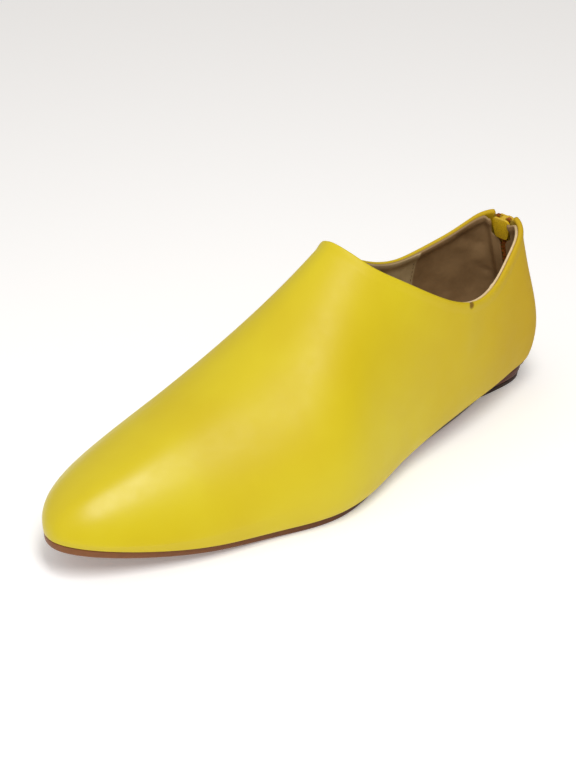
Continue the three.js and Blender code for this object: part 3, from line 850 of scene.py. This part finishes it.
def sheetRings(us, insetOf, rows, across):  # one closed ring round the sheet at each station
    rings = []
    for u in us:
        edges = {}
        for side in (1, -1):
            inset = np.array([insetOf(stationX(u)) + row[0] for row in rows])
            x, y = edgePoint(u, side, inset)
            x = x + heelShare(x - inset) * leanAt(0)
            edges[side] = np.stack([x, side * y, undersideZ(x) + [row[1] for row in rows]], -1)
        shares = np.linspace(0, 1, across + 2)[1:-1, None]
        left, right = edges[1], edges[-1]
        over = right[0] + (left[0] - right[0]) * shares
        under = left[-1] + (right[-1] - left[-1]) * shares
        over[:, 2] = undersideZ(over[:, 0]) + rows[0][1]
        under[:, 2] = undersideZ(under[:, 0]) + rows[-1][1]
        rings.append(np.concatenate([over, left, under, right[::-1]]))
    return rings


def makeOutsole():
    sizes = soleSizes
    us = np.linspace(0, 1, sizes["stations"] + 1)
    rings = sheetRings(us, insetAt, sizes["edge"], sizes["across"])
    # the edge material holds painted shade and light along the shoe
    materials = [finish["stainedAndShadedEdge"], finish["soleBottom"]]
    piece = addPiece("outsoleLeather", *loft(rings), materials, mend=True)
    for face in piece.data.polygons:
        face.material_index = 1 if face.normal.z < sizes["underNormal"] else 0
    settle(piece, "shoe", "sole", "outsole")
    print("outsole:", len(piece.data.polygons), "faces")


def makeSock():
    sizes = soleSizes
    us = np.linspace(0, stationU(sizes["sockEnd"]), sizes["stations"] + 1)
    seat = last["soleThickness"] + 2 * last["gap"] + last["foldThickness"]
    rows = [(inset, seat + height) for inset, height in sizes["sockEdge"]]
    rings = sheetRings(us, lambda x: sizes["sockInset"], rows, sizes["across"])
    piece = addPiece("insoleSock", *loft(rings), [sock], sharpAngle=sizes["sockSharp"], mend=True)
    settle(piece, "shoe", "lining", "insole")
    print("insole:", len(piece.data.polygons), "faces")


makeOutsole()
makeSock()

heelSizes = {
    "centre": (26.9, -2.2),
    "half": (24.8, 17.0),
    "squareness": 3.2,
    "around": 160,
    "topPiece": 2.2,
    "layers": 3,
    "layerRows": (0.06, 0.94, 7),  # first share, last share and number in each layer
    "groove": 0.16,
    "swell": ((0, -0.5), (0.55, 0.3), (1, 0)),  # share of the way up, outwards
    "liftFoot": ((-0.75, 0.0), (-0.55, 0.12)),  # outwards, up from its lower face
    "liftHead": ((-0.05, -0.1), (-0.25, 0.0)),  # outwards, up from its upper face
    "treadFoot": ((-1.3, 0.0), (-0.95, 0.08), (-0.8, 0.3)),
    "treadHead": ((-0.6, -0.3), (-0.6, -0.1), (-0.75, 0.0)),
    "sharp": 60,
}


def heelRings(rows):
    turn = np.linspace(0, 2 * np.pi, heelSizes["around"], endpoint=False)

    def square(value):
        return np.sign(value) * np.abs(value)**(2 / heelSizes["squareness"])

    (cx, cy), (hx, hy) = heelSizes["centre"], heelSizes["half"]
    return [np.stack([cx + (hx + swell) * square(np.cos(turn)), cy + (hy + swell) * square(np.sin(turn)),
                      np.full_like(turn, z)], -1) for swell, z in rows]


def makeHeel():
    sizes = heelSizes
    low, high = sizes["topPiece"] + last["gap"], last["heelHeight"] - last["gap"]
    swell, layers = curveThrough(sizes["swell"]), sizes["layers"]

    def row(share, dent=0.0):
        return float(swell(share)) - dent, low + (high - low) * share

    rows = [(out, low + up) for out, up in sizes["liftFoot"]]
    for k in range(layers):
        rows += [row((k + share) / layers) for share in np.linspace(*sizes["layerRows"])]
        if k < layers - 1:  # a fine groove between two layers
            rows.append(row((k + 1) / layers, sizes["groove"]))
    rows += [(out, high + up) for out, up in sizes["liftHead"]]
    stack, rubber, sharp = [finish["heelStack"]], [finish["darkRubber"]], sizes["sharp"]
    piece = addPiece("heelLift", *loft(heelRings(rows)), stack, sharpAngle=sharp, mend=True)
    settle(piece, "shoe", "heel", "heel_lift")
    rows = list(sizes["treadFoot"]) + [(out, sizes["topPiece"] + up) for out, up in sizes["treadHead"]]
    piece = addPiece("heelTopPiece", *loft(heelRings(rows)), rubber, sharpAngle=sharp, mend=True)
    settle(piece, "shoe", "top_piece", "heel_top_piece")
    print("heel made")


makeHeel()

tapeSizes = {
    "inner": 1.2,
    "tuck": 1.2,  # how far the tape runs in under the leather's edge
    "half": 0.36,
    "below": 1.5,  # under the slot's bottom
    "bead": ((0.0, 0.6), (0.15, 1.0), (0.9, 1.0), (1.3, 0.75)),  # from the inner edge, share of the half
    "rows": 70,
    "sharp": 50,
}


def zipFrame(z):  # point on the zip's middle plane, and its direction out of the shoe
    lean = zipLean(z)
    return np.array([zipX(z), 0.0, z]), np.array([-np.cos(lean), 0.0, np.sin(lean)])


def makeTapes():
    sizes = tapeSizes
    for side, name, node in ((1, "zipTapeLeft", "zip_tape_left"), (-1, "zipTapeRight", "zip_tape_right")):
        rings = []
        for z in np.linspace(zipSizes["bottom"] - sizes["below"], zipSizes["tapeTop"], sizes["rows"]):
            middle, out = zipFrame(z)
            front = [(sizes["inner"] + beside, share) for beside, share in sizes["bead"]]
            front.append((slotHalf(z) + sizes["tuck"], front[-1][1]))
            profile = [(y, -share) for y, share in front] + front[::-1]
            rings.append([middle + np.array([0, side * y, 0]) + out * share * sizes["half"]
                          for y, share in profile])
        piece = addPiece(name, *loft(rings), [tape], sharpAngle=sizes["sharp"], mend=True)
        settle(piece, "shoe", "tape", node)
    print("tapes made")


toothSizes = {
    "pitch": 1.0,
    "first": 5.6,  # over the slot's bottom
    "last": 0.6,  # over the slider's middle
    "tooth": (0.95, 0.41),  # half depth and half height, as for the stops
    "toothSpan": (-0.75, 2.4),
    "bottomStop": (1.0, 1.4),
    "bottomStopSpan": (-2.4, 2.4),
    "bottomStopUp": 2.8,  # over the slot's bottom
    "topStop": (0.8, 1.1),
    "topStopSpan": (2.3, 3.9),
    "topStopDown": 0.5,  # under the tape's top
    "bevel": 0.22,
    "sharp": 40,
}


def bevelledBox(low, high, bevel):
    work = bmesh.new()
    bmesh.ops.create_cube(work, size=1.0)
    middle, size = (np.array(low) + high) / 2, np.array(high) - low
    for vert in work.verts:
        vert.co = Vector(middle + np.array(vert.co) * size)
    bmesh.ops.bevel(work, geom=list(work.edges), offset=bevel, segments=2, profile=0.5, affect="EDGES")
    work.verts.index_update()
    points = np.array([vert.co[:] for vert in work.verts])
    faces = [[vert.index for vert in face.verts] for face in work.faces]
    work.free()
    return points, faces


def makeTeeth():
    sizes = toothSizes
    bottom, top = zipSizes["bottom"], zipSizes["tapeTop"]
    heights = np.arange(bottom + sizes["first"], zipSizes["sliderHeight"] + sizes["last"], sizes["pitch"])
    blocks = [(z, (-1)**(k + 1), "tooth") for k, z in enumerate(heights)]
    blocks.append((bottom + sizes["bottomStopUp"], 1, "bottomStop"))
    blocks += [(top - sizes["topStopDown"], side, "topStop") for side in (1, -1)]
    shapes = []
    for z, side, kind in blocks:
        deep, tall = sizes[kind]
        low, high = sorted(side * y for y in sizes[kind + "Span"])
        corners, quads = bevelledBox((-deep, low, -tall), (deep, high, tall), sizes["bevel"])
        turn = np.array(Matrix.Rotation(float(zipLean(z)), 3, "Y"))
        shapes.append((corners @ turn.T + [float(zipX(z)), 0, z], quads))
    piece = addPiece("zipTeeth", *joined(shapes), [finish["warmBrass"]], sharpAngle=sizes["sharp"])
    settle(piece, "shoe", "teeth", "zip_chain")
    print("teeth:", len(blocks))


makeTapes()
makeTeeth()

hardwareSizes = {
    "sliderBevel": 0.22,
    "pullBevel": 0.3,
    "bevelSteps": 3,
    "flat": 2,  # degrees, as are the next two
    "sharp": 25,
    "shadeSharp": 35,
}


def softenedCopy(node, name, bevel, body):  # the construction's own shape with its edges rounded
    sizes = hardwareSizes
    mesh = frame["nodes"][node].data.copy()
    mesh.name = name
    mesh.materials.clear()
    mesh.materials.append(finish["yellowLacquer"])
    work = bmesh.new()
    work.from_mesh(mesh)
    bmesh.ops.remove_doubles(work, verts=work.verts, dist=weldDistance)
    flat, sharp = math.radians(sizes["flat"]), math.radians(sizes["sharp"])
    bmesh.ops.dissolve_limit(work, angle_limit=flat, verts=work.verts, edges=work.edges)
    edges = [e for e in work.edges if len(e.link_faces) == 2 and e.calc_face_angle() > sharp]
    bmesh.ops.bevel(work, geom=edges, offset=bevel / 1000, segments=sizes["bevelSteps"], profile=0.5,
                    affect="EDGES", clamp_overlap=True)
    work.to_mesh(mesh)
    work.free()
    shaded(mesh, sizes["shadeSharp"])
    settle(inScene(name, mesh), body, "slider", node)


softenedCopy("zip_slider", "zipSlider", hardwareSizes["sliderBevel"], "shoe")
softenedCopy("zip_pull", "zipPull", hardwareSizes["pullBevel"], "zip_pull")
print("slider and pull made")

stitchSizes = {
    "zip": {"beside": 2.4, "pitch": 2.9, "length": 2.2, "radius": 0.24, "low": 29.0, "high": 76.5},
    "seam": {"beside": 1.2, "pitch": 2.2, "length": 1.6, "radius": 0.18, "low": 24.0, "high": 58.5},
    "rings": 9,
    "around": 8,
    "arch": 1.25,  # shares of the radius, as are the next two
    "sunk": 0.7,
    "ends": 0.6,
    "flat": 0.8,  # height of the thread's section over its width
}
skinSearch = {
    "u": (0.0, 0.3, 120),  # from, to and number of places
    "v": (0.05, 0.9, 160),
    "steps": (0.0025, 0.0054),
    "rounds": 12,
    "shrink": 0.6,
    "probe": 0.5,  # how far in the normal is taken
}


def skinNear(axis, value, z, side, inset):  # place at that x or y and height on the skin, and its normal
    search = skinSearch
    us, vs = np.meshgrid(np.linspace(*search["u"]), np.linspace(*search["v"]), indexing="ij")
    points = skinPoint(us, vs, side, inset)
    miss = np.hypot(points[..., axis] - value, points[..., 2] - z)
    i, j = np.unravel_index(np.argmin(miss), miss.shape)
    u, v = us[i, j], vs[i, j]
    stepU, stepV = search["steps"]
    for _ in range(search["rounds"]):  # steps shrink from the coarse grid's place
        trial = [(max(u + a * stepU, 0), v + b * stepV) for a in (-1, 0, 1) for b in (-1, 0, 1)]
        found = skinPoint([t[0] for t in trial], [t[1] for t in trial], side, inset)
        u, v = trial[int(np.argmin(np.hypot(found[:, axis] - value, found[:, 2] - z)))]
        stepU, stepV = stepU * search["shrink"], stepV * search["shrink"]
    here = skinPoint(u, v, side, inset)
    deeper = skinPoint(u, v, side, inset + search["probe"])
    return here, (here - deeper) / np.linalg.norm(here - deeper)


def oneStitch(a, b, out, radius):  # dives in at both ends
    form = stitchSizes
    along = (b - a) / np.linalg.norm(b - a)
    across = np.cross(along, out)
    rings = []
    for share in np.linspace(0, 1, form["rings"]):
        bow = math.sin(math.pi * share)
        middle = a + (b - a) * share + out * radius * (form["arch"] * bow**0.5 - form["sunk"])
        thick = radius * (form["ends"] + (1 - form["ends"]) * bow)
        rings.append([middle + thick * (math.cos(t) * across + form["flat"] * math.sin(t) * out)
                      for t in np.linspace(0, 2 * math.pi, form["around"], endpoint=False)])
    return loft(rings)


def makeStitches(name, sizes, onLining, material, slot):
    seamX = liningLook["seamX"] + sizes["beside"]
    shapes = []
    for side in (1, -1):
        for z in np.arange(sizes["low"], sizes["high"], sizes["pitch"]):
            ends = []
            for at in (z - sizes["length"] / 2, z + sizes["length"] / 2):
                if onLining:
                    ends.append(skinNear(0, seamX, at, side, liningSizes["to"]))
                else:
                    ends.append(skinNear(1, side * (slotHalf(at) + sizes["beside"]), at, side, 0.0))
            (a, outA), (b, outB) = ends
            out = (outA + outB) / (-2 if onLining else 2)
            shapes.append(oneStitch(a, b, out, sizes["radius"]))
    piece = addPiece(name, *joined(shapes), [material], mend=True)
    settle(piece, "shoe", slot)
    print(name, "made")


makeStitches("zipStitches", stitchSizes["zip"], False, finish["matchingThread"], "upper_leather")
makeStitches("liningStitches", stitchSizes["seam"], True, finish["tanThread"], "lining")

studio = {
    "floor": tone(250, 250, 250),
    "floorSize": 8.0,
    "floorRoughness": 0.8,
    "floorGlow": 0.2,
    "skyTowards": (0.55, -0.35, 0.76),  # the room is brighter over the toe and darker behind the heel
    "skyStops": (
        (0.2, (0.1, 0.07, 0.045, 1.0)), (0.55, (0.34, 0.3, 0.26, 1.0)), (0.9, (0.62, 0.61, 0.6, 1.0))),
    "key": {"place": (0.2, 0.36, 0.77), "aim": (0.07, 0.0, 0.03), "size": (0.24, 0.6), "watts": 4.6},
}


def makeStudio():
    bpy.ops.mesh.primitive_plane_add(size=studio["floorSize"], location=(0, 0, 0))
    floor = bpy.context.object
    floor.name = "floor"
    material, shader, _ = startMaterial("paleFloor")
    feed(shader, {
        "Base Color": studio["floor"], "Roughness": studio["floorRoughness"],
        "Emission Color": (1.0, 1.0, 1.0, 1.0), "Emission Strength": studio["floorGlow"]})
    floor.data.materials.append(material)
    world = bpy.data.worlds.new("studioWorld")
    world.use_nodes = True
    nodes = world.node_tree.nodes
    around = nodes.new("ShaderNodeTexCoord").outputs["Generated"]
    facing = addNode("VectorMath", {0: around, 1: studio["skyTowards"]}, "Value", operation="DOT_PRODUCT")
    share = ranged(facing, -1.0, 1.0, 0.0, 1.0)
    feed(nodes["Background"], {"Color": ramp(share, studio["skyStops"])})
    scene.world = world
    key = studio["key"]
    lamp = bpy.data.lights.new("keySoftbox", "AREA")
    lamp.shape = "RECTANGLE"
    lamp.size, lamp.size_y = key["size"]
    lamp.energy = key["watts"]
    light = inScene("keySoftbox", lamp)
    light.location = key["place"]
    light.rotation_euler = (Vector(key["place"]) - Vector(key["aim"])).to_track_quat("Z", "Y").to_euler()
    scene.view_settings.view_transform = "Standard"
    print("studio made")


cameraView = {
    "turn": 48.80,  # degrees from the toe axis towards the outer side
    "height": 29.17,
    "roll": -0.33,
    "distance": 721.3,
    "target": (128.2, -11.7, 31.05),
    "lens": 80.39,
    "sensor": 36.0,
    "nearest": 0.01,
}


def makeCamera():
    view = cameraView
    turn, height, roll = (math.radians(view[name]) for name in ("turn", "height", "roll"))
    aim = Euler((math.pi / 2 - height, 0, math.pi / 2 + turn)).to_matrix().to_4x4()
    aim = Matrix.Translation(toFrame(view["target"])) @ aim @ Matrix.Rotation(roll, 4, "Z")
    lens = bpy.data.cameras.new("camera")
    lens.sensor_fit = "VERTICAL"
    lens.sensor_height = view["sensor"]
    lens.lens = view["lens"]
    lens.clip_start = view["nearest"]
    camera = inScene("camera", lens)
    camera.matrix_world = aim @ Matrix.Translation((0, 0, view["distance"] / 1000))
    scene.camera = camera
    print("camera placed")


makeStudio()
makeCamera()
